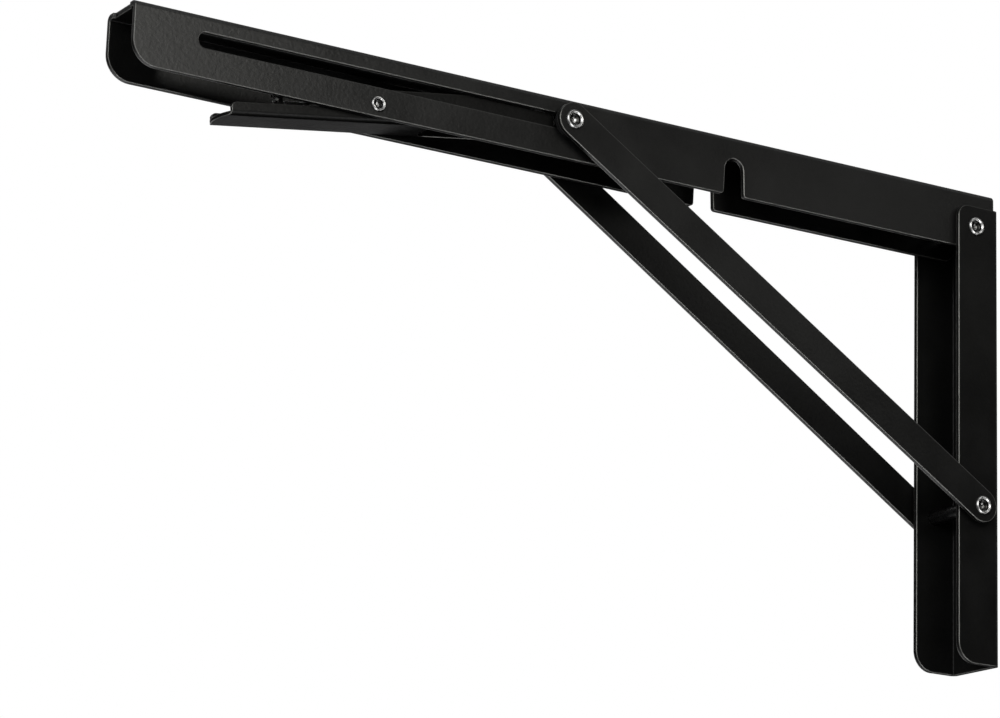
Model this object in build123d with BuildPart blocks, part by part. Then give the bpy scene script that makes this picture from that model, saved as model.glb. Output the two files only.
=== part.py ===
"""Folding shelf bracket: a wall leg, a shelf arm that folds down into it, a pair of struts and a spring-held release lever.

Millimetres. X runs out from the wall, Y across the bracket and Z up. The origin lies on the wall face, level with
the hinge pin, in the bracket's middle plane. "near" is the +Y side and "far" the -Y side.
"""

import os
from math import asin, atan2, cos, degrees, pi, radians, sin, sqrt

from build123d import *

os.makedirs("parts", exist_ok=True)

# Sheet steel
sheet = 2.0
channel_bend = 0.4  # inner radius of the leg's and the arm's folds

# Wall leg
leg_width = 30.0
leg_depth = 21.2
leg_above_hinge = 8.5
leg_below_hinge = 184.9
leg_top_corner = 5.0
leg_bottom_corner = 8.5
wall_hole_diameter = 5.5
wall_hole_top = -40.0
wall_hole_above_end = 14.9
wall_hole_count = 3

# Pins: their distance from the wall and the foot pin's drop below the hinge pin
pin_setback = 12.0
foot_drop = 120.0
pivot_diameter = 6.0
pivot_bore = 4.8
pivot_head_diameter = 8.1
head_height = 0.9
bore_depth = 0.6  # below the head's seat, down to the bore's cone
cone_depth = 0.9
running = 0.05  # radial running clearance of every pivot
side_gap = 0.1  # sideways clearance between faces that turn on each other

# Shelf arm: its width follows from the leg's, its length from the struts'
hinge_side_gap = 1.2
arm_above_hinge = 16.0
arm_height = 24.7
arm_rear = 0.3
arm_past_slot = 26.3
arm_tip_corner = 10.0
tip_recess = 0.9
tip_recess_width = 14.0
heel_clearance = 0.5
slot_height = 6.3
slot_above_hinge = 6.0
slot_end_room = 3.0
notch_width = 9.2
notch_flare = 0.4
notch_offset = 1.15
notch_crown = 6.7
notch_mouth_radius = 1.4
shelf_hole_diameter = 5.5
shelf_hole_first = 55.0
shelf_hole_pitch = 120.0
shelf_tip_hole_setback = 16.3

# Struts
strut_length = 237.0
strut_width = 13.8
strut_foot_gap = 2.2
strut_top_gap = 3.2
strut_flat = 14.0
strut_bend = 60.0

# Slide studs
bush_diameter = 12.0
stud_head_diameter = 8.0

# Release lever, at rest turned down from the arm by its press angle
press_angle = 8.5
lever_pin_ahead = 85.1
lever_pin_below_hinge = 3.7
lever_pin_diameter = 4.8
lever_pin_bore = 3.6
lever_pin_head_diameter = 6.4
lever_sheet = 1.5
lever_bend = 0.5
lever_side_gap = 0.8
lever_floor = 6.45
lever_rim = 1.55
lever_crest = 6.5
lever_reach = 61.6
lever_lip = 3.0  # how far the floor's round front edge stands out from the sides
lever_rim_start = 21.0
lever_crest_start = 6.0
lever_floor_end = 26.0
lever_corner = 2.0
lock_gap = 1.5
lock_clearance = 0.2

# Lever spring, wound on the lever's rivet: its lower leg hooks round a tongue of the lever and presses the lever down,
# its upper leg ends in a small hole in the arm's far side
wire = 1.2
coil_radius = 4.0
coil_middle = 0.1
coil_turns = 2
coil_pitch = 1.45
coil_steps = 12  # straight runs in each turn
low_leg_dip = 6.0
low_leg_straight = 30.0
low_leg_end = 11.2
high_leg_rise = 14.0
high_leg_reach = 20.0
leg_bend = 1.5
hook_length = 4.0
spring_hole_clearance = 0.2
tongue_gap = 0.25
tongue_width = 4.4
tongue_rise = 4.6
tongue_notch = 1.8

# Washers
hinge_washer_diameter = 11.0
foot_washer_diameter = 11.0
lever_washer_diameter = 9.0

# What follows from the driving dimensions
half_leg = leg_width / 2
half_arm = half_leg - sheet - hinge_side_gap
arm_width = 2 * half_arm
lever_width = arm_width - 2 * sheet - 2 * lever_side_gap
arm_lower = arm_above_hinge - arm_height
hinge = (pin_setback, 0.0)
foot = (pin_setback, -foot_drop)
foot_rise = foot_drop + slot_above_hinge
pin_open_x = pin_setback + sqrt(strut_length**2 - foot_rise**2)
pin_folded_x = pin_setback + foot_drop + sqrt(strut_length**2 - slot_above_hinge**2)
strut_angle = degrees(atan2(foot_rise, pin_open_x - pin_setback))
lever_pin_x = pin_open_x + lever_pin_ahead
lever_pin = (lever_pin_x, -lever_pin_below_hinge)
pivot_radius = pivot_diameter / 2
wall_hole_lowest = wall_hole_above_end - leg_below_hinge
slot_start = pin_open_x - pivot_radius - running
slot_end = pin_folded_x + pivot_radius + slot_end_room
arm_tip = slot_end + arm_past_slot
pivot_hole = pivot_radius + running
strut_foot_inner = half_leg + strut_foot_gap
strut_top_inner = half_arm + strut_top_gap
sides = {"near": 1, "far": -1}


def save(part, name):
    """Labels one finished piece and writes it to its own file."""
    part.label = name
    export_step(part, f"parts/{name}.step")


def cross_plane(x, z, y=0.0):
    """A plane square to Y at a pin, with +X to the right and +Z up. It looks along -Y."""
    return Plane(origin=(x, y, z), x_dir=(1, 0, 0), z_dir=(0, -1, 0))


def lever_at(reach, height):
    """A point in the middle plane, given by its reach along the lever from its pin and its height above that line."""
    tilt = radians(press_angle)
    x = lever_pin[0] + reach * cos(tilt) + height * sin(tilt)
    return (x, 0, lever_pin[1] - reach * sin(tilt) + height * cos(tilt))


def lever_place(point):
    """A point's height above the lever's own line, and its reach along it."""
    tilt = radians(press_angle)
    x, z = point.X - lever_pin[0], point.Z - lever_pin[1]
    return (x * sin(tilt) + z * cos(tilt), x * cos(tilt) - z * sin(tilt))


def lever_way(angle):
    """A direction in the middle plane, at an angle in degrees above the lever's own line."""
    turned = radians(angle - press_angle)
    return (cos(turned), 0, sin(turned))


def pin_plane(x, z):
    """The plane in which a turned piece's half section is drawn: radius to the right, +Y up."""
    return Plane(origin=(x, 0, z), x_dir=(1, 0, 0), z_dir=(0, 0, 1))


def spring_coil():
    """The coil's centre line, from the lower leg to the upper one, turning forwards over the rivet as it goes to -Y."""
    first = 90 - low_leg_dip
    turn = 360 * coil_turns + 270 + high_leg_rise + press_angle - first
    length = coil_pitch * turn / 360
    centre = (lever_pin[0], coil_middle + length / 2, lever_pin[1])
    line = Helix(coil_pitch, length, coil_radius, centre, (0, -1, 0), mode=Mode.PRIVATE)
    arm = line @ 0 - Vector(*centre)
    now = degrees(atan2(arm.Z, arm.X))
    return line.rotate(Axis(centre, (0, -1, 0)), first - press_angle - now)


def ring(centre, outer, inner, start, end, side):
    """A washer, bush or plain tube on a pin at centre, from start to end out along one side."""
    with BuildPart() as body:
        with BuildSketch(cross_plane(centre[0], centre[1], side * start)):
            Circle(outer)
            Circle(inner, mode=Mode.SUBTRACT)
        extrude(amount=-side * (end - start))
    return body.part


def pin(centre, radius, start, end, side):
    """A plain round pin at centre, from start to end out along one side."""
    with BuildPart() as body:
        with BuildSketch(cross_plane(centre[0], centre[1], side * start)):
            Circle(radius)
        extrude(amount=-side * (end - start))
    return body.part


def rolled_end(centre, outer, bore, head, start, seat):
    """A pin from start to its seat on the near side, its end drilled and rolled over into a head."""
    crown = seat + head_height
    crest = bore + 0.6 * (head - bore)
    with BuildPart() as body:
        with BuildSketch(pin_plane(*centre)):
            with BuildLine():
                Polyline(
                    (0, start),
                    (outer, start),
                    (outer, seat),
                    (head, seat),
                    (head, seat + head_height / 3),
                    (crest, crown),
                    (bore, seat + head_height / 3),
                    (bore, seat - bore_depth),
                    (0, seat - bore_depth - cone_depth),
                    close=True,
                )
            make_face()
        revolve(axis=Axis((centre[0], 0, centre[1]), (0, 1, 0)))
    return body.part


def through_rivet(centre, diameter, bore, head_diameter, seat):
    """A rivet right through the bracket, rolled over at both ends."""
    half = rolled_end(centre, diameter / 2, bore / 2, head_diameter / 2, 0, seat)
    with BuildPart() as body:
        add(half)
        mirror(about=Plane.XZ)
    return body.part


# The spring's centre line: hook, lower leg, coil, upper leg and the end in the arm's hole
coil = spring_coil()
coil_start, coil_end = coil @ 0, coil @ 1
low_knee = coil_start - (coil % 0) * low_leg_straight
low_end = low_knee + Vector(*lever_way(0)) * low_leg_end
low_hook = low_end + Vector(0, hook_length, 0)
high_end = coil_end + (coil % 1) * high_leg_reach
high_hook = Vector(high_end.X, -half_arm - wire / 2, high_end.Z)
hook_height, hook_reach = lever_place(low_end)
tongue_y = low_knee.Y + wire / 2 + tongue_gap

# Wall leg: a channel with its web on the wall
with BuildPart() as wall_leg:
    with BuildSketch(Plane.XY.offset(-leg_below_hinge)):
        with BuildLine():
            FilletPolyline(
                (leg_depth, half_leg - sheet / 2),
                (sheet / 2, half_leg - sheet / 2),
                (sheet / 2, sheet / 2 - half_leg),
                (leg_depth, sheet / 2 - half_leg),
                radius=channel_bend + sheet / 2,
            )
        trace(line_width=sheet)
    extrude(amount=leg_below_hinge + leg_above_hinge)
    with BuildSketch(Plane.XZ) as leg_outline:
        with Locations((leg_depth / 2, (leg_above_hinge - leg_below_hinge) / 2)):
            Rectangle(leg_depth, leg_above_hinge + leg_below_hinge)
        fillet(leg_outline.vertices().group_by(Axis.X)[-1].sort_by(Axis.Y)[0], leg_bottom_corner)
        fillet(leg_outline.vertices().group_by(Axis.Y)[-1].sort_by(Axis.X)[-1], leg_top_corner)
    extrude(amount=leg_width, both=True, mode=Mode.INTERSECT)
    with BuildSketch(Plane.XZ):
        with Locations(hinge, foot):
            Circle(pivot_hole)
    extrude(amount=leg_width, both=True, mode=Mode.SUBTRACT)
    with BuildSketch(Plane.YZ):
        with Locations((0, (wall_hole_top + wall_hole_lowest) / 2)):
            with GridLocations(0, (wall_hole_top - wall_hole_lowest) / (wall_hole_count - 1), 1, wall_hole_count):
                Circle(wall_hole_diameter / 2)
    extrude(amount=sheet, mode=Mode.SUBTRACT)
save(wall_leg.part, "wall_leg")

# Shelf arm: a channel open downwards, which folds down between the leg's sides
heel_radius = pin_setback - sheet - heel_clearance
heel_x = pin_setback - sqrt(heel_radius**2 - arm_lower**2)
heel_turn = (asin(-arm_lower / heel_radius)) / 2
heel_middle = (pin_setback - heel_radius * cos(heel_turn), -heel_radius * sin(heel_turn))
heel_step = leg_above_hinge + heel_clearance
notch_x = pin_setback + foot_drop + notch_offset
notch_shoulder = notch_crown - notch_width / 2
with BuildPart() as shelf_arm:
    with BuildSketch(Plane.YZ.offset(arm_rear)):
        with BuildLine():
            FilletPolyline(
                (half_arm - sheet / 2, arm_lower),
                (half_arm - sheet / 2, arm_above_hinge - sheet / 2),
                (sheet / 2 - half_arm, arm_above_hinge - sheet / 2),
                (sheet / 2 - half_arm, arm_lower),
                radius=channel_bend + sheet / 2,
            )
        trace(line_width=sheet)
    extrude(amount=arm_tip - arm_rear)
    with BuildSketch(Plane.XZ) as arm_outline:
        with BuildLine():
            Polyline(
                (pin_setback - heel_radius, 0),
                (pin_setback - heel_radius, heel_step),
                (arm_rear, heel_step),
                (arm_rear, arm_above_hinge),
                (arm_tip, arm_above_hinge),
                (arm_tip, arm_lower),
                (heel_x, arm_lower),
            )
            ThreePointArc((heel_x, arm_lower), heel_middle, (pin_setback - heel_radius, 0))
        make_face()
        tip_corner = arm_outline.vertices().group_by(Axis.Y)[0].sort_by(Axis.X)[-1]
        fillet(tip_corner, arm_tip_corner)
        with BuildLine():
            Polyline(
                (notch_x - notch_width / 2, notch_shoulder),
                (notch_x - notch_width / 2 - notch_flare, arm_lower),
                (notch_x + notch_width / 2 + notch_flare, arm_lower),
                (notch_x + notch_width / 2, notch_shoulder),
            )
            ThreePointArc(
                (notch_x + notch_width / 2, notch_shoulder),
                (notch_x, notch_crown),
                (notch_x - notch_width / 2, notch_shoulder),
            )
        make_face(mode=Mode.SUBTRACT)
        mouth = arm_outline.vertices().group_by(Axis.Y)[0].sort_by(Axis.X)[1:3]
        fillet(mouth, notch_mouth_radius)
    extrude(amount=arm_width, both=True, mode=Mode.INTERSECT)
    with BuildSketch(Plane.XZ):
        with Locations(((slot_start + slot_end) / 2, slot_above_hinge)):
            SlotOverall(slot_end - slot_start, slot_height)
        with Locations(hinge):
            Circle(pivot_hole)
        with Locations(lever_pin):
            Circle(lever_pin_diameter / 2 + running)
    extrude(amount=arm_width, both=True, mode=Mode.SUBTRACT)
    with BuildSketch(Plane.XZ):
        with Locations((high_end.X, high_end.Z)):
            Circle(wire / 2 + spring_hole_clearance)
    extrude(amount=arm_width, mode=Mode.SUBTRACT)
    with BuildSketch(Plane.XY.offset(arm_above_hinge)):
        with Locations((shelf_hole_first, 0), (shelf_hole_first + shelf_hole_pitch, 0), (arm_tip - shelf_tip_hole_setback, 0)):
            Circle(shelf_hole_diameter / 2)
        with Locations((arm_tip, 0)):
            RectangleRounded(2 * tip_recess, tip_recess_width, tip_recess * 0.8)
    extrude(amount=-sheet, mode=Mode.SUBTRACT)
save(shelf_arm.part, "shelf_arm")

# Struts: flat bars with full-round ends, set inwards from the leg's width to the arm's
along = (cos(radians(strut_angle)), 0, sin(radians(strut_angle)))
square = (-sin(radians(strut_angle)), 0, cos(radians(strut_angle)))
for name, side in sides.items():
    foot_middle = side * (strut_foot_inner + sheet / 2)
    top_middle = side * (strut_top_inner + sheet / 2)
    with BuildPart() as strut:
        with BuildSketch(Plane(origin=(foot[0], 0, foot[1]), x_dir=along, z_dir=square)):
            with BuildLine():
                FilletPolyline(
                    (-strut_width, foot_middle),
                    (strut_flat, foot_middle),
                    (strut_length - strut_flat, top_middle),
                    (strut_length + strut_width, top_middle),
                    radius=strut_bend,
                )
            trace(line_width=sheet)
        extrude(amount=strut_width, both=True)
        with BuildSketch(Plane(origin=(foot[0], 0, foot[1]), x_dir=along, z_dir=(0, -1, 0))):
            with Locations((strut_length / 2, 0)):
                SlotCenterToCenter(strut_length, strut_width)
            with Locations((0, 0), (strut_length, 0)):
                Circle(pivot_hole, mode=Mode.SUBTRACT)
        extrude(amount=leg_width, both=True, mode=Mode.INTERSECT)
    save(strut.part, f"strut_{name}")

# Pivots: rivets with drilled ends, rolled over
hinge_rivet = through_rivet(hinge, pivot_diameter, pivot_bore, pivot_head_diameter, half_leg)
save(hinge_rivet, "hinge_rivet")
foot_seat = strut_foot_inner + sheet + side_gap
foot_rivet = through_rivet(foot, pivot_diameter, pivot_bore, pivot_head_diameter, foot_seat)
save(foot_rivet, "foot_rivet")
lever_rivet = through_rivet(lever_pin, lever_pin_diameter, lever_pin_bore, lever_pin_head_diameter, half_arm)
save(lever_rivet, "lever_rivet")

# Studs at the struts' top: the outer end turns in the strut, the rest slides in the arm's slot
stud_centre = (pin_open_x, slot_above_hinge)
stud_split = strut_top_inner
lever_side = lever_width / 2
for name, side in sides.items():
    outer_end = rolled_end(
        stud_centre,
        pivot_radius,
        pivot_bore / 2,
        pivot_head_diameter / 2,
        stud_split,
        strut_top_inner + sheet,
    )
    with BuildPart() as stud_head:
        add(outer_end if side > 0 else mirror(outer_end, about=Plane.XZ))
    save(stud_head.part, f"stud_head_{name}")
    with BuildPart() as slide_stud:
        add(pin(stud_centre, pivot_radius, lever_side + lock_clearance, stud_split - side_gap, side))
        add(
            pin(
                stud_centre,
                stud_head_diameter / 2,
                lever_side + lock_clearance,
                half_arm - sheet - side_gap,
                side,
            )
        )
    save(slide_stud.part, f"slide_stud_{name}")
    bush = ring(
        stud_centre,
        bush_diameter / 2,
        pivot_hole,
        half_arm + side_gap,
        stud_split - side_gap,
        side,
    )
    save(bush, f"slide_bush_{name}")

# Washers that fill the side gaps at the hinge, the foot and the lever's pin
for name, side in sides.items():
    hinge_washer = ring(
        hinge,
        hinge_washer_diameter / 2,
        pivot_hole,
        half_arm + side_gap,
        half_leg - sheet - side_gap,
        side,
    )
    save(hinge_washer, f"hinge_washer_{name}")
    foot_washer = ring(
        foot,
        foot_washer_diameter / 2,
        pivot_hole,
        half_leg,
        strut_foot_inner - side_gap,
        side,
    )
    save(foot_washer, f"foot_washer_{name}")
    lever_washer = ring(
        lever_pin,
        lever_washer_diameter / 2,
        lever_pin_diameter / 2 + running,
        lever_side + side_gap,
        half_arm - sheet - side_gap,
        side,
    )
    save(lever_washer, f"lever_washer_{name}")

# Release lever: a shallow channel open upwards. Its tall rear ears stop the studs from sliding.
lever_axis = lever_way(0)
lever_origin = lever_at(0, 0)
ear_end = pin_open_x + pivot_radius + lock_gap - lever_pin_x
ear_top = slot_above_hinge + pivot_radius + lever_pin_below_hinge
with BuildPart() as release_lever:
    with BuildSketch(Plane(origin=lever_origin, x_dir=(0, 1, 0), z_dir=lever_axis)):
        with BuildLine():
            FilletPolyline(
                (lever_side - lever_sheet / 2, lever_crest),
                (lever_side - lever_sheet / 2, lever_sheet / 2 - lever_floor),
                (lever_sheet / 2 - lever_side, lever_sheet / 2 - lever_floor),
                (lever_sheet / 2 - lever_side, lever_crest),
                radius=lever_bend + lever_sheet / 2,
            )
        trace(line_width=lever_sheet)
    extrude(amount=strut_length / 2, both=True)
    with BuildSketch(Plane(origin=lever_origin, x_dir=lever_axis, z_dir=(0, -1, 0))) as lever_outline:
        with BuildLine():
            lever_tip = lever_reach + lever_lip
            lever_front = Polyline(
                (lever_tip, -lever_floor),
                (lever_tip, lever_sheet - lever_floor),
                (lever_reach, lever_sheet - lever_floor),
                (lever_reach, -lever_rim),
            )
            rim = Line(lever_front @ 1, (lever_rim_start, -lever_rim))
            crest_turn = (lever_rim_start + lever_crest_start) / 2
            Spline(
                rim @ 1,
                (crest_turn, (lever_crest - lever_rim) / 2),
                (lever_crest_start, lever_crest),
                tangents=((-1, 0), (-1, 0)),
            )
            ear_slope = radians(press_angle)
            crest_end = (lever_crest - ear_top / cos(ear_slope)) / sin(ear_slope) * cos(ear_slope)
            crest = Line((lever_crest_start, lever_crest), (crest_end, lever_crest))
            ear_corner = (
                ear_end * cos(ear_slope) - ear_top * sin(ear_slope),
                ear_end * sin(ear_slope) + ear_top * cos(ear_slope),
            )
            ear_foot_depth = (-lever_floor - ear_end * sin(ear_slope)) / cos(ear_slope)
            ear_foot = (ear_end * cos(ear_slope) - ear_foot_depth * sin(ear_slope), -lever_floor)
            Polyline(crest @ 1, ear_corner, ear_foot, lever_front @ 0)
        make_face()
        ear_corners = lever_outline.vertices().group_by(Axis.X)[0]
        fillet(ear_corners, lever_corner)
        front = lever_outline.vertices().group_by(Axis.X)
        fillet(front[-2].sort_by(Axis.Y)[-1], lever_corner)
    extrude(amount=lever_width, both=True, mode=Mode.INTERSECT)
    with BuildSketch(Plane(origin=lever_origin, x_dir=lever_axis, z_dir=lever_way(90))):
        with BuildLine():
            Polyline(
                (lever_reach, lever_side),
                (-strut_length, lever_side),
                (-strut_length, -lever_side),
                (lever_reach, -lever_side),
            )
            ThreePointArc((lever_reach, -lever_side), (lever_tip, 0), (lever_reach, lever_side))
        make_face()
    extrude(amount=strut_length / 2, both=True, mode=Mode.INTERSECT)
    with BuildSketch(Plane(origin=lever_origin, x_dir=lever_axis, z_dir=lever_way(90))):
        with Locations(((-lever_floor_end - lever_width - strut_length / 4), 0)):
            RectangleRounded(strut_length / 2 + 2 * lever_width, lever_width - 2 * lever_sheet, lever_width / 4)
    extrude(amount=-2 * lever_floor, mode=Mode.SUBTRACT)
    with BuildSketch(Plane(origin=lever_origin, x_dir=lever_axis, z_dir=(0, -1, 0))):
        Circle(lever_pin_diameter / 2 + running)
    extrude(amount=lever_width, both=True, mode=Mode.SUBTRACT)
    # The tongue on the floor, with a notch in its front edge for the spring's hook
    with BuildSketch(Plane(origin=lever_origin, x_dir=lever_axis, z_dir=(0, -1, 0)).offset(-tongue_y)):
        with BuildLine():
            Polyline(
                (hook_reach - tongue_width + tongue_notch / 2, lever_sheet / 2 - lever_floor),
                (hook_reach + tongue_notch / 2, lever_sheet / 2 - lever_floor),
                (hook_reach + tongue_notch / 2, hook_height - tongue_notch / 2),
                (hook_reach - tongue_notch / 2, hook_height - tongue_notch / 2),
                (hook_reach - tongue_notch / 2, hook_height + tongue_notch / 2),
                (hook_reach + tongue_notch / 2, hook_height + tongue_notch / 2),
                (hook_reach + tongue_notch / 2, hook_height + tongue_rise),
                (hook_reach - tongue_width + tongue_notch / 2, hook_height + tongue_rise),
                close=True,
            )
        make_face()
    extrude(amount=-lever_sheet)
save(release_lever.part, "release_lever")

# Lever spring: round wire along its centre line
coil_runs = round(coil_steps * (coil.length / (2 * pi * coil_radius)))
with BuildPart() as lever_spring:
    with BuildLine() as spring_path:
        FilletPolyline(low_hook, low_end, low_knee, coil_start, radius=leg_bend)
        Polyline(*[coil @ (k / coil_runs) for k in range(coil_runs + 1)])
        FilletPolyline(coil_end, high_end, high_hook, radius=leg_bend)
    with BuildSketch(Plane(origin=low_hook, z_dir=(0, -1, 0))):
        Circle(wire / 2)
    sweep(transition=Transition.RIGHT)
save(lever_spring.part, "lever_spring")
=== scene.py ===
"""Looks of the folding shelf bracket: black powder coat, bright drilled rivets and a white studio."""

import math

import bpy
from mathutils import Matrix, Vector


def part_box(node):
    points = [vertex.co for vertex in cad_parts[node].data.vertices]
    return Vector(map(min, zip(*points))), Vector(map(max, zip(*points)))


MM = 0.001
WHITE = (1.0, 1.0, 1.0)

# The camera of the photograph, solved from the bracket's own edges, in the part's frame
TARGET_MM = (233.18, 0.0, -90.68)
AZIMUTH_DEG = 58.83
ELEVATION_DEG = -14.80
ROLL_DEG = 1.84
DISTANCE_MM = 1420.89
FOCAL_PX = 3693.23
IMAGE_WIDTH_PX = 1000
SENSOR_MM = 36.0
CLIP_M = (0.01, 50.0)

# Noises, as grains per metre, detail and roughness, and the values that a noise mostly has
CLOUDS = (45.0, 3.0, 0.5)
PEEL = (650.0, 3.0, 0.55)
MARKS = (700.0, 3.0, 0.6)
PLASTIC_GRAIN = (2200.0, 2.0, 0.5)
NOISE_SPAN = (0.3, 0.7)

# Powder coat: two blacks that cloud into each other, orange peel, and the gloss of each coat
COAT_DARK = (0.006, 0.006, 0.0058)
COAT_LIGHT = (0.0085, 0.0085, 0.0082)
COAT_ROUGHNESS = (0.34, 0.42)
CLOUD_SPAN = (0.35, 0.65)
PEEL_MM = 0.17
PEEL_STRENGTH = 0.6
# The leg's and the lever's coats are shaded copies of the arm's coat: the same paint with less gloss, painted
# shade that makes them reflect less light and look darker.
COATS = {
    "black_powder_coat": 0.5,
    "leg_shaded_powder_coat": 0.2,
    "lever_shaded_powder_coat": 0.2,
}

# The coat of each sheet-metal piece
COATED = {
    "wall_leg": "leg_shaded_powder_coat",
    "shelf_arm": "black_powder_coat",
    "strut_near": "black_powder_coat",
    "strut_far": "black_powder_coat",
    "release_lever": "lever_shaded_powder_coat",
}

# A painted highlight along the coat's cut edges: a grey, partly metallic line that stands in for the light
# the rounded edges catch.
# It fades in with the turn of the rounded normal, as a cosine, and with the share of open surroundings, and
# it fades out with the height of the normal on edges that face up, since the light comes from below.
EDGE_HIGHLIGHT_COLOR = (0.24, 0.24, 0.23)
EDGE_HIGHLIGHT_METAL = 0.75
EDGE_ROUNDING_MM = 0.7
EDGE_SAMPLES = 8
EDGE_TURN = (0.995, 0.93)
EDGE_UP_FACING = (0.25, 0.05)
EDGE_UP_HIGHLIGHT = 0.15
CORNER_REACH_MM = 1.2
CORNER_SAMPLES = 6
CORNER_OPEN = (0.85, 0.97)

# Bright zinc and spring steel, with faint turning marks
RIVET_COLOR = (0.96, 0.96, 0.95)
RIVET_ROUGHNESS = (0.22, 0.34)
STUD_COLOR = (0.62, 0.62, 0.62)
STUD_ROUGHNESS = (0.16, 0.26)
WIRE_COLOR = (0.86, 0.86, 0.85)
WIRE_ROUGHNESS = (0.26, 0.34)
MARKS_MM = 0.008
MARKS_SHADE = 0.86

# A rivet's end as places and greys, from its middle (0) to its rim (1): drill point, bore, bright rim, slope.
# The bore and the slope are painted shade, the drill point is left bright as a painted highlight, and the rim
# keeps the plain metal's colour.
RIVET_RING_SHADING = (
    (0.0, 0.8),
    (0.24, 0.7),
    (0.32, 0.04),
    (0.6, 0.04),
    (0.65, 1.0),
    (0.86, 1.0),
    (0.92, 0.18),
    (1.0, 0.18),
)
LIP_RISE = (0.64, 0.76)
LIP_FALL = (0.76, 0.88)
LIP_MM = 0.17
LIP_MARKS = 0.04
# The greys of a rivet's shank between its heads: painted shade, where the shank sits inside the channels.
SHADED_SHANK_DARK = (0.1, 0.1, 0.1)
SHADED_SHANK_LIGHT = (0.15, 0.15, 0.15)
HEAD_FROM_END_MM = (2.6, 2.4)

# Matt plastic of the washers and bushes
PLASTIC_DARK = (0.009, 0.009, 0.0095)
PLASTIC_LIGHT = (0.014, 0.014, 0.0145)
PLASTIC_ROUGHNESS = (0.5, 0.62)
PLASTIC_GRAIN_MM = 0.03
PLASTIC_STRENGTH = 0.2

# Edges of the meshes
WELD_MM = 0.002
SHARP_DEG = 32.0
RIVET_SHARP_DEG = 50.0
RIVET_BEVEL_MM = 0.08
PLASTIC_BEVEL_MM = 0.15
BEVEL_SEGMENTS = 2
FLAT_WEIGHT = 100

# The pale floor, far below the hanging bracket
FLOOR_Z_MM = -2500.0
FLOOR_X_MM = 200.0
FLOOR_HALF_MM = 40000.0
FLOOR_COLOR = (0.86, 0.86, 0.86)
FLOOR_ROUGHNESS = 0.8
FLOOR_GLOW = 0.72

# The room's own light and its patches of light, as azimuth, elevation, inner and outer degrees, and strength
ROOM_LIGHT = 0.016
GLOWS = (
    (0.0, 90.0, 20.0, 60.0, 0.28),
    (33.0, 15.0, 8.0, 24.0, 3.2),
    (68.0, -58.0, 10.0, 24.0, 3.2),
    (125.0, -34.0, 8.0, 18.0, 3.0),
    (158.0, 34.0, 8.0, 20.0, 0.45),
    (105.0, 58.0, 6.0, 14.0, 2.0),
    (172.0, 6.0, 5.0, 12.0, 1.2),
    (60.0, -18.0, 10.0, 28.0, 0.3),
    (0.0, -28.0, 10.0, 26.0, 0.6),
    (272.0, -24.0, 15.0, 29.0, 0.9),
    (275.0, 44.0, 12.0, 30.0, 0.9),
)
# The white backdrop behind the bracket, seen in mirror-like surfaces only where it stands
BACKDROP = (239.0, 15.0, 8.0, 26.0, 1.0)

# Lamps, as name, place and target in metres, size in metres, and power in watts
LAMP_COLOR = (1.0, 0.99, 0.94)
LAMPS = (
    ("tip_box", (0.28, 0.70, 0.16), (0.38, 0.0, 0.0), (0.3, 0.4), 1.8),
    ("arm_box", (-0.088, 0.25, 0.067), (0.08, 0.012, 0.005), (0.12, 0.1), 0.017),
)

# The rivets with drilled ends, and the plain studs that slide in the slot
DRILLED = ("hinge_rivet", "foot_rivet", "lever_rivet", "stud_head_near", "stud_head_far")
STUDS = ("slide_stud_near", "slide_stud_far")


def feed(tree, socket, value):
    """Sets a socket to a number, a vector or a colour, or links it to another socket."""
    if isinstance(value, bpy.types.NodeSocket):
        tree.links.new(value, socket)
    elif socket.type == "RGBA":
        socket.default_value = (*value, 1.0)
    else:
        socket.default_value = value


def math_node(tree, operation, *values):
    node = tree.nodes.new("ShaderNodeMath")
    node.operation = operation
    for socket, value in zip(node.inputs, values):
        feed(tree, socket, value)
    return node.outputs["Value"]


def vector_math(tree, operation, *values):
    node = tree.nodes.new("ShaderNodeVectorMath")
    node.operation = operation
    for socket, value in zip(node.inputs, values):
        feed(tree, socket, value)
    return node.outputs["Value" if operation in ("DOT_PRODUCT", "LENGTH") else "Vector"]


def map_range(tree, source, span, to_span=(0.0, 1.0), smooth=False):
    """Maps the source's value from one range to another, clamped."""
    node = tree.nodes.new("ShaderNodeMapRange")
    node.interpolation_type = "SMOOTHSTEP" if smooth else "LINEAR"
    node.inputs["From Min"].default_value, node.inputs["From Max"].default_value = span
    node.inputs["To Min"].default_value, node.inputs["To Max"].default_value = to_span
    tree.links.new(source, node.inputs["Value"])
    return node.outputs["Result"]


def mix_colors(tree, factor, first, second, blend="MIX"):
    """A mix of two colours by the factor."""
    node = tree.nodes.new("ShaderNodeMix")
    node.data_type = "RGBA"
    node.blend_type = blend
    for name, value in (("Factor", factor), ("A", first), ("B", second)):
        feed(tree, node.inputs[name], value)
    return node.outputs["Result"]


def part_of(tree, vector, axis):
    """One coordinate of a vector."""
    node = tree.nodes.new("ShaderNodeSeparateXYZ")
    tree.links.new(vector, node.inputs["Vector"])
    return node.outputs[axis]


def object_place(tree):
    """The point's place in the part's frame."""
    return tree.nodes.new("ShaderNodeTexCoord").outputs["Object"]


def noise(tree, per_metre, detail, roughness):
    """A noise with so many grains per metre."""
    node = tree.nodes.new("ShaderNodeTexNoise")
    node.inputs["Scale"].default_value = per_metre
    node.inputs["Detail"].default_value = detail
    node.inputs["Roughness"].default_value = roughness
    tree.links.new(object_place(tree), node.inputs["Vector"])
    return node.outputs["Fac"]


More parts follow.
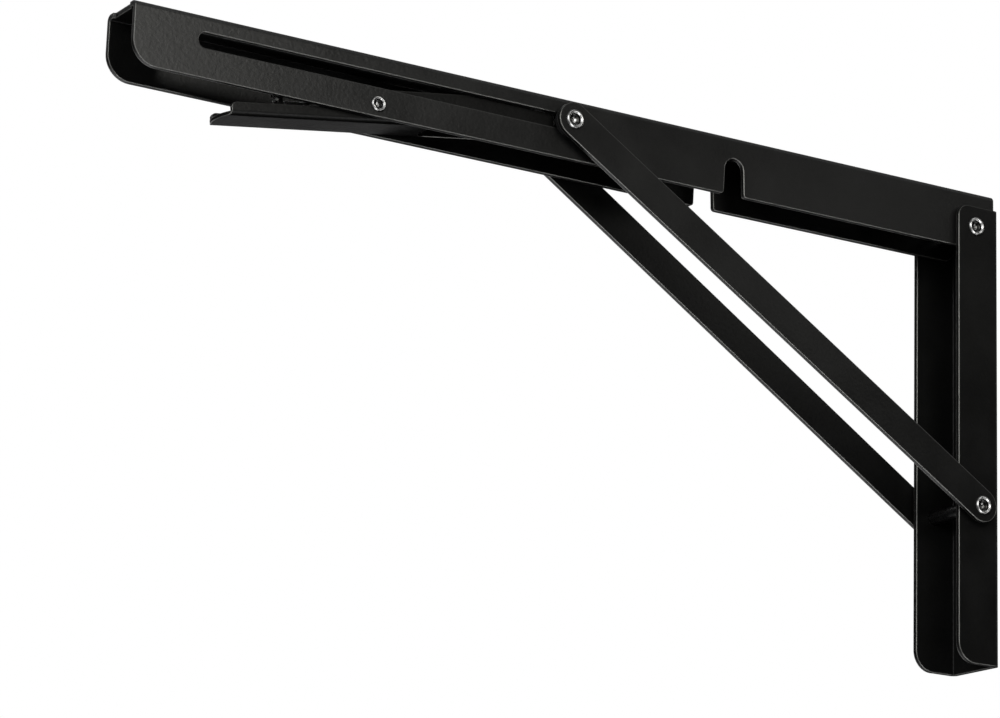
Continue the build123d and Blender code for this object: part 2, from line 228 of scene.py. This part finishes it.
def new_material(name):
    """A node material with one shader to build on."""
    material = bpy.data.materials.new(name)
    material.use_nodes = True
    tree = material.node_tree
    tree.nodes.clear()
    shader = tree.nodes.new("ShaderNodeBsdfPrincipled")
    output = tree.nodes.new("ShaderNodeOutputMaterial")
    tree.links.new(shader.outputs["BSDF"], output.inputs["Surface"])
    return material, tree, shader


def bump(tree, shader, height, strength, depth_mm, normal=None):
    """Relief on the surface, over the given normal or its own."""
    node = tree.nodes.new("ShaderNodeBump")
    if normal:
        tree.links.new(normal, node.inputs["Normal"])
    node.inputs["Strength"].default_value = strength
    node.inputs["Distance"].default_value = depth_mm * MM
    tree.links.new(height, node.inputs["Height"])
    tree.links.new(node.outputs["Normal"], shader.inputs["Normal"])


def rounded_normal(tree):
    """The surface's normal as if its edges were rounded."""
    node = tree.nodes.new("ShaderNodeBevel")
    node.samples = EDGE_SAMPLES
    node.inputs["Radius"].default_value = EDGE_ROUNDING_MM * MM
    return node.outputs["Normal"]


def openness(tree):
    """The part of the near surroundings that is free: 1 on faces and outer edges, less in inner corners."""
    node = tree.nodes.new("ShaderNodeAmbientOcclusion")
    node.samples = CORNER_SAMPLES
    node.inputs["Distance"].default_value = CORNER_REACH_MM * MM
    return node.outputs["AO"]


def own_direction(tree, normal):
    """A world normal turned into the object's own frame, which stays put in any pose."""
    node = tree.nodes.new("ShaderNodeVectorTransform")
    node.vector_type = "NORMAL"
    node.convert_from = "WORLD"
    node.convert_to = "OBJECT"
    tree.links.new(normal, node.inputs["Vector"])
    return node.outputs["Vector"]


def painted_edge_highlight(tree, normal):
    """The mask of the painted edge highlight: 1 on outer cut edges, where the rounded normal leaves the true
    one, less where they face up, away from the light below, else 0.
    """
    true_normal = tree.nodes.new("ShaderNodeNewGeometry").outputs["True Normal"]
    turned = map_range(tree, vector_math(tree, "DOT_PRODUCT", normal, true_normal), EDGE_TURN)
    outer = math_node(tree, "MULTIPLY", turned, map_range(tree, openness(tree), CORNER_OPEN))
    upward = part_of(tree, own_direction(tree, normal), "Z")
    return math_node(tree, "MULTIPLY", outer, map_range(tree, upward, EDGE_UP_FACING, (EDGE_UP_HIGHLIGHT, 1.0)))


def powder_coat(name, gloss):
    """Black powder coat: a satin skin with fine orange peel, slight clouding and a painted highlight along
    its cut edges.
    """
    material, tree, shader = new_material(name)
    cloud = noise(tree, *CLOUDS)
    normal = rounded_normal(tree)
    # Painted highlight: a grey, partly metallic line along the cut edges.
    edge_highlight = painted_edge_highlight(tree, normal)
    skin = mix_colors(tree, map_range(tree, cloud, CLOUD_SPAN), COAT_DARK, COAT_LIGHT)
    feed(tree, shader.inputs["Base Color"], mix_colors(tree, edge_highlight, skin, EDGE_HIGHLIGHT_COLOR))
    feed(tree, shader.inputs["Metallic"], map_range(tree, edge_highlight, (0.0, 1.0), (0.0, EDGE_HIGHLIGHT_METAL)))
    feed(tree, shader.inputs["Roughness"], map_range(tree, cloud, NOISE_SPAN, COAT_ROUGHNESS))
    feed(tree, shader.inputs["Specular IOR Level"], gloss)
    bump(tree, shader, noise(tree, *PEEL), PEEL_STRENGTH, PEEL_MM, normal)
    return material


def plated_steel(name, color, roughness, rivet=None):
    """Bright steel with faint turning marks. A drilled rivet is given by its middle, radius and reach."""
    material, tree, shader = new_material(name)
    shader.inputs["Metallic"].default_value = 1.0
    marks = noise(tree, *MARKS)
    plated = mix_colors(tree, marks, tuple(MARKS_SHADE * c for c in color), color)
    height, depth_mm = marks, MARKS_MM
    if rivet:
        plated, height = drilled_ends(tree, marks, plated, *rivet)
        depth_mm = LIP_MM
    feed(tree, shader.inputs["Base Color"], plated)
    feed(tree, shader.inputs["Roughness"], map_range(tree, marks, NOISE_SPAN, roughness))
    bump(tree, shader, height, 1.0, depth_mm)
    return material


def drilled_ends(tree, marks, plated, middle, radius, reach):
    """A rivet's colour and relief: a bore of painted shade in a bright rim at each end, and a dull grey of
    painted shade on the shank between its heads.
    """
    offset = vector_math(tree, "SUBTRACT", object_place(tree), middle)
    across = vector_math(tree, "MULTIPLY", offset, (1.0 / radius, 0.0, 1.0 / radius))
    distance = vector_math(tree, "LENGTH", across)
    # Painted shade in the bore and on the slope, and a painted highlight on the drill point.
    end = mix_colors(tree, 1.0, plated, painted_ring_shading(tree, distance), "MULTIPLY")
    # Painted shade: the shank between the heads is darkened where it sits inside the channels.
    shank = mix_colors(tree, marks, SHADED_SHANK_DARK, SHADED_SHANK_LIGHT)
    along = math_node(tree, "ABSOLUTE", part_of(tree, offset, "Y"))
    head = map_range(tree, along, [reach - depth * MM for depth in HEAD_FROM_END_MM])
    rise = map_range(tree, distance, LIP_RISE, smooth=True)
    fall = map_range(tree, distance, LIP_FALL, (1.0, 0.0), smooth=True)
    lip = math_node(tree, "MULTIPLY", rise, fall)
    return mix_colors(tree, head, shank, end), math_node(tree, "MULTIPLY_ADD", marks, LIP_MARKS, lip)


def painted_ring_shading(tree, distance):
    """The greys of a rivet's end by the distance from its middle: painted shade in the bore and on the slope,
    and a painted highlight on the drill point.
    """
    node = tree.nodes.new("ShaderNodeValToRGB")
    stops = node.color_ramp.elements
    for place, _ in RIVET_RING_SHADING[1:-1]:
        stops.new(place)
    for stop, (_, grey) in zip(stops, RIVET_RING_SHADING):
        stop.color = (grey, grey, grey, 1.0)
    tree.links.new(distance, node.inputs["Fac"])
    return node.outputs["Color"]


def dark_plastic():
    """Matt black plastic with a fine grain."""
    material, tree, shader = new_material("dark_plastic")
    grain = noise(tree, *PLASTIC_GRAIN)
    feed(tree, shader.inputs["Base Color"], mix_colors(tree, grain, PLASTIC_DARK, PLASTIC_LIGHT))
    feed(tree, shader.inputs["Roughness"], map_range(tree, grain, NOISE_SPAN, PLASTIC_ROUGHNESS))
    bump(tree, shader, grain, PLASTIC_STRENGTH, PLASTIC_GRAIN_MM)
    return material


def paint(obj, material):
    obj.data.materials.clear()
    obj.data.materials.append(material)


def weld(obj):
    """Joins the points that the faces of the CAD mesh have twice."""
    modifier = obj.modifiers.new("weld", "WELD")
    modifier.merge_threshold = WELD_MM * MM


def keep_faces_flat(obj):
    """Shades the bends smooth and the flat faces flat."""
    modifier = obj.modifiers.new("flat_faces", "WEIGHTED_NORMAL")
    modifier.mode = "FACE_AREA"
    modifier.weight = FLAT_WEIGHT
    modifier.keep_sharp = False
    obj.data.shade_smooth()


def cut_edges(obj):
    """Keeps the sheet's cut edges sharp and its bends smooth."""
    weld(obj)
    modifier = obj.modifiers.new("cut_edges", "EDGE_SPLIT")
    modifier.split_angle = math.radians(SHARP_DEG)
    modifier.use_edge_sharp = False
    keep_faces_flat(obj)


def round_edges(obj, width_mm, sharp_deg):
    """Rounds the edges that are sharper than the angle."""
    weld(obj)
    modifier = obj.modifiers.new("bevel", "BEVEL")
    modifier.width = width_mm * MM
    modifier.segments = BEVEL_SEGMENTS
    modifier.limit_method = "ANGLE"
    modifier.angle_limit = math.radians(sharp_deg)
    modifier.use_clamp_overlap = True
    keep_faces_flat(obj)


def rivet_ends(name):
    """A rivet's middle, its radius and the reach of its ends along Y."""
    low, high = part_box(name)
    middle = [(a + b) / 2 for a, b in zip(low, high)]
    return middle, (high[0] - low[0]) / 2, (high[1] - low[1]) / 2


def area_light(name, position, target, size, watts):
    """A lamp at position that looks at target, unseen by the camera."""
    data = bpy.data.lights.new(name, "AREA")
    data.shape = "RECTANGLE"
    data.size, data.size_y = size
    data.energy = watts
    data.color = LAMP_COLOR
    obj = bpy.data.objects.new(name, data)
    obj.visible_camera = False
    obj.location = position
    way = Vector(target) - Vector(position)
    obj.rotation_euler = way.to_track_quat("-Z", "Y").to_euler()
    bpy.context.scene.collection.objects.link(obj)


def photo_camera():
    """A camera at the photograph's place, framed for its picture."""
    azimuth, elevation, roll = (math.radians(v) for v in (AZIMUTH_DEG, ELEVATION_DEG, ROLL_DEG))
    back = direction_to(azimuth, elevation)
    right = Vector((-math.sin(azimuth), math.cos(azimuth), 0.0))
    up = back.cross(right)
    x_axis = right * math.cos(roll) + up * math.sin(roll)
    y_axis = up * math.cos(roll) - right * math.sin(roll)
    place = Vector(TARGET_MM) * MM + back * DISTANCE_MM * MM
    data = bpy.data.cameras.new("photo_camera")
    data.sensor_width = SENSOR_MM
    data.sensor_fit = "HORIZONTAL"
    data.lens = FOCAL_PX * SENSOR_MM / IMAGE_WIDTH_PX
    data.clip_start, data.clip_end = CLIP_M
    obj = bpy.data.objects.new("photo_camera", data)
    rotation = Matrix((x_axis, y_axis, back)).transposed().to_4x4()
    obj.matrix_world = Matrix.Translation(place) @ rotation
    bpy.context.scene.collection.objects.link(obj)
    bpy.context.scene.camera = obj


def direction_to(azimuth, elevation):
    """The unit vector at an azimuth and an elevation in radians."""
    flat = math.cos(elevation)
    return Vector((flat * math.cos(azimuth), flat * math.sin(azimuth), math.sin(elevation)))


def glow(tree, direction, azimuth, elevation, inner, outer, strength):
    """A soft round patch of light: full up to inner degrees from its middle and gone at outer degrees."""
    middle = direction_to(math.radians(azimuth), math.radians(elevation))
    nearness = vector_math(tree, "DOT_PRODUCT", direction, middle)
    span = [math.cos(math.radians(angle)) for angle in (outer, inner)]
    return map_range(tree, nearness, span, (0.0, strength), smooth=True)


def seen_directly(tree, path):
    """1 for what the camera sees, straight or through a clear surface."""
    return math_node(tree, "MAXIMUM", path.outputs["Is Camera Ray"], path.outputs["Is Transmission Ray"])


def white_world():
    """White for the camera, and a dim room with soft patches of light for the bracket."""
    world = bpy.data.worlds.new("studio")
    bpy.context.scene.world = world
    world.use_nodes = True
    tree = world.node_tree
    tree.nodes.clear()
    path = tree.nodes.new("ShaderNodeLightPath")
    direction = tree.nodes.new("ShaderNodeTexCoord").outputs["Generated"]
    room = ROOM_LIGHT
    for patch in GLOWS:
        room = math_node(tree, "ADD", room, glow(tree, direction, *patch))
    backdrop = glow(tree, direction, *BACKDROP)
    mirrored = math_node(tree, "MULTIPLY", path.outputs["Is Glossy Ray"], backdrop)
    white = math_node(tree, "MAXIMUM", seen_directly(tree, path), mirrored)
    background = tree.nodes.new("ShaderNodeBackground")
    feed(tree, background.inputs["Color"], WHITE)
    feed(tree, background.inputs["Strength"], math_node(tree, "MAXIMUM", room, white))
    output = tree.nodes.new("ShaderNodeOutputWorld")
    tree.links.new(background.outputs["Background"], output.inputs["Surface"])


def pale_floor():
    """A floor that the camera sees as pale, and that lets the soft light from below through."""
    half = FLOOR_HALF_MM * MM
    corners = [(-half, -half, 0), (half, -half, 0), (half, half, 0), (-half, half, 0)]
    mesh = bpy.data.meshes.new("floor")
    mesh.from_pydata(corners, [], [(0, 1, 2, 3)])
    floor = bpy.data.objects.new("floor", mesh)
    floor.location = (FLOOR_X_MM * MM, 0.0, FLOOR_Z_MM * MM)
    floor.visible_glossy = False
    floor.visible_diffuse = False
    bpy.context.scene.collection.objects.link(floor)
    material, tree, shader = new_material("pale_floor")
    feed(tree, shader.inputs["Base Color"], FLOOR_COLOR)
    feed(tree, shader.inputs["Roughness"], FLOOR_ROUGHNESS)
    feed(tree, shader.inputs["Emission Color"], WHITE)
    seen = seen_directly(tree, tree.nodes.new("ShaderNodeLightPath"))
    feed(tree, shader.inputs["Emission Strength"], math_node(tree, "MULTIPLY", seen, FLOOR_GLOW))
    paint(floor, material)


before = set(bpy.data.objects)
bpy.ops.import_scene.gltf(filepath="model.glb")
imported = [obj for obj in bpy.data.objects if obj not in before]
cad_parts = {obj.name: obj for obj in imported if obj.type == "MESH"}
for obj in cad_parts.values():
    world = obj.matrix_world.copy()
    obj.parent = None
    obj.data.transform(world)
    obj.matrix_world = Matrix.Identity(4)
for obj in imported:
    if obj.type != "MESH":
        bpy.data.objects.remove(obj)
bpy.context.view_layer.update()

coats = {name: powder_coat(name, gloss) for name, gloss in COATS.items()}
zinc = plated_steel("bright_zinc", STUD_COLOR, STUD_ROUGHNESS)
wire_steel = plated_steel("spring_wire", WIRE_COLOR, WIRE_ROUGHNESS)
plastic = dark_plastic()

for name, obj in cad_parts.items():
    if name in COATED:
        paint(obj, coats[COATED[name]])
        cut_edges(obj)
    elif name in DRILLED:
        paint(obj, plated_steel(f"{name}_zinc", RIVET_COLOR, RIVET_ROUGHNESS, rivet_ends(name)))
        round_edges(obj, RIVET_BEVEL_MM, RIVET_SHARP_DEG)
    elif name in STUDS:
        paint(obj, zinc)
        round_edges(obj, RIVET_BEVEL_MM, RIVET_SHARP_DEG)
    elif name == "lever_spring":
        paint(obj, wire_steel)
        obj.data.shade_smooth()
    else:
        paint(obj, plastic)
        round_edges(obj, PLASTIC_BEVEL_MM, SHARP_DEG)

photo_camera()
white_world()
pale_floor()
for lamp in LAMPS:
    area_light(*lamp)
bpy.context.scene.view_settings.view_transform = "Standard"
